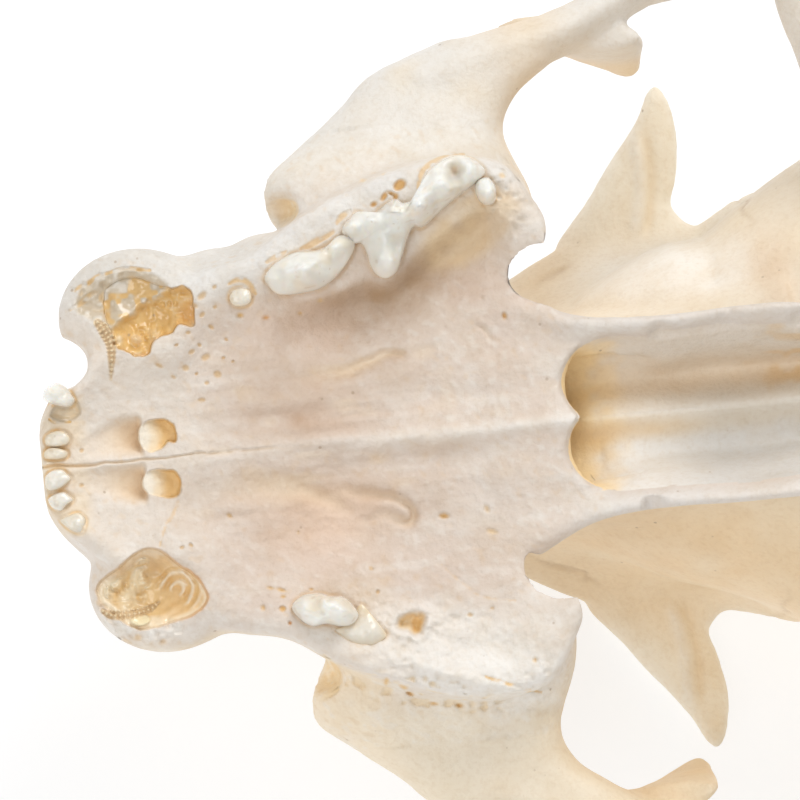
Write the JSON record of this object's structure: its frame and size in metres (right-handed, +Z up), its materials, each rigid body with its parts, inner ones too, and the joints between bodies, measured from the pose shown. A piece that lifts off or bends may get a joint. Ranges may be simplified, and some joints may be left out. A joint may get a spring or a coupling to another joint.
{
  "type": "cat skull",
  "caption": "Life-size skull of a domestic cat without its lower jaw, lying palate up on the roof of the braincase; for display, teaching and still-life scenes",
  "frame": {"origin": "middle of the bounding box at floor level, under the skull as it lies palate up", "axes": "+X runs rearward from the front teeth to the back of the head, +Y towards the animal's left, +Z up, away from the floor; the skull leans 16 degrees about X and 11 degrees about Y, as it rests"},
  "size_m": [0.0936, 0.0652, 0.0451],
  "materials": {
    "bone_upper_jaw": "dry cleaned bone, pinkish cream, with glossy pale teeth",
    "bone_forehead": "dry cleaned bone, warm cream",
    "bone_braincase": "dry cleaned bone, smooth, cream",
    "bone_occiput": "dry cleaned bone, cream",
    "bone_cheek_arch": "dry cleaned bone, creamy",
    "bone_ear_capsule": "thin smooth bone, cream"
  },
  "bodies": {
    "root": {"upper_jaw_left": "bone_upper_jaw", "upper_jaw_right": "bone_upper_jaw", "forehead": "bone_forehead", "braincase": "bone_braincase", "occiput": "bone_occiput", "cheek_arch_left": "bone_cheek_arch", "cheek_arch_right": "bone_cheek_arch", "ear_capsule_left": "bone_ear_capsule", "ear_capsule_right": "bone_ear_capsule"}
  },
  "joints": []
}
